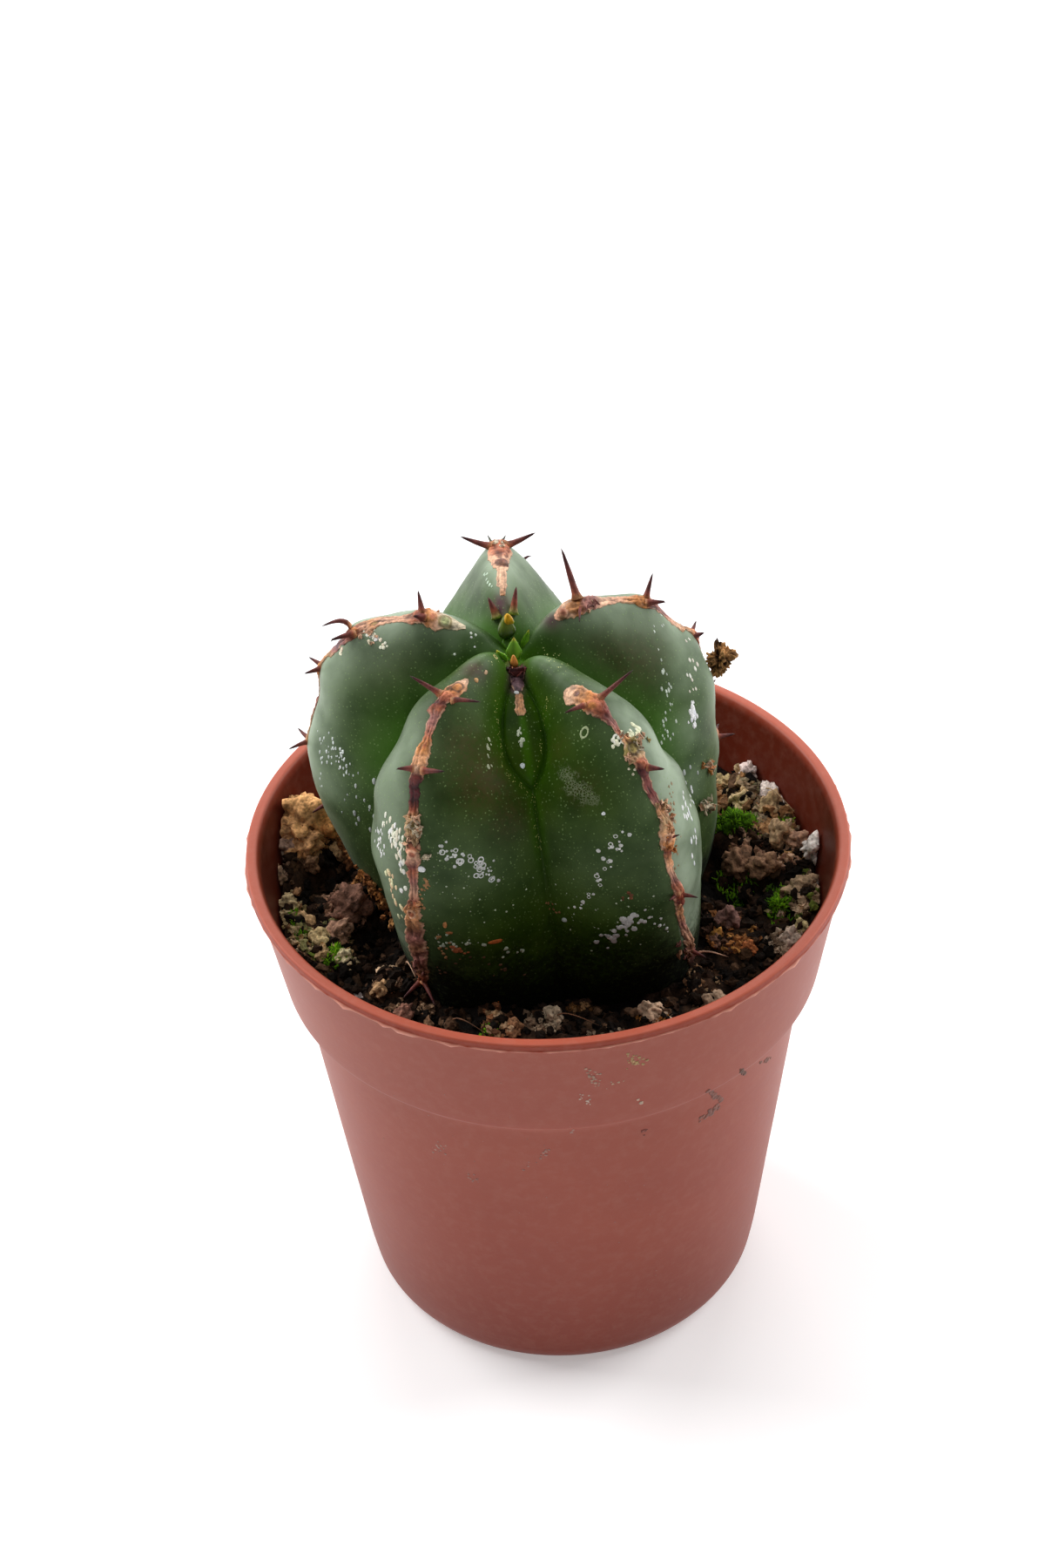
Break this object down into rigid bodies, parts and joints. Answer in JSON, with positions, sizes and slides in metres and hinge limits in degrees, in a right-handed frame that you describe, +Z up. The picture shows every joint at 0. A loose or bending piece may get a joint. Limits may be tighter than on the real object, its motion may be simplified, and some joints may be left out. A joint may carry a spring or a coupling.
{
  "type": "potted euphorbia",
  "caption": "Small ribbed succulent with horny spined crests, rooted in coarse soil in a round tapered plastic nursery pot that stands on its base.",
  "frame": {"origin": "centre of the pot's underside, on the surface that the pot stands on", "axes": "+Z up along the pot's axis, -Y towards the front, where the young rib grows between the two front ribs"},
  "size_m": [0.055, 0.055, 0.0769],
  "materials": {
    "pot_plastic": "terracotta polypropylene, satin with scuffs",
    "soil": "coarse dry bark, peat and pumice grains",
    "green_skin": "dark green waxy succulent skin",
    "horn": "dry tan horny margin with maroon spines",
    "crumb": "dry brown soil crumb"
  },
  "bodies": {
    "root": {"pot": "pot_plastic", "soil": "soil", "stem": "green_skin", "margin_right": "horn", "margin_back": "horn", "margin_left": "horn", "margin_front_left": "horn", "margin_front_right": "horn", "margin_front_centre": "horn", "caught_crumb": "crumb"}
  },
  "joints": []
}
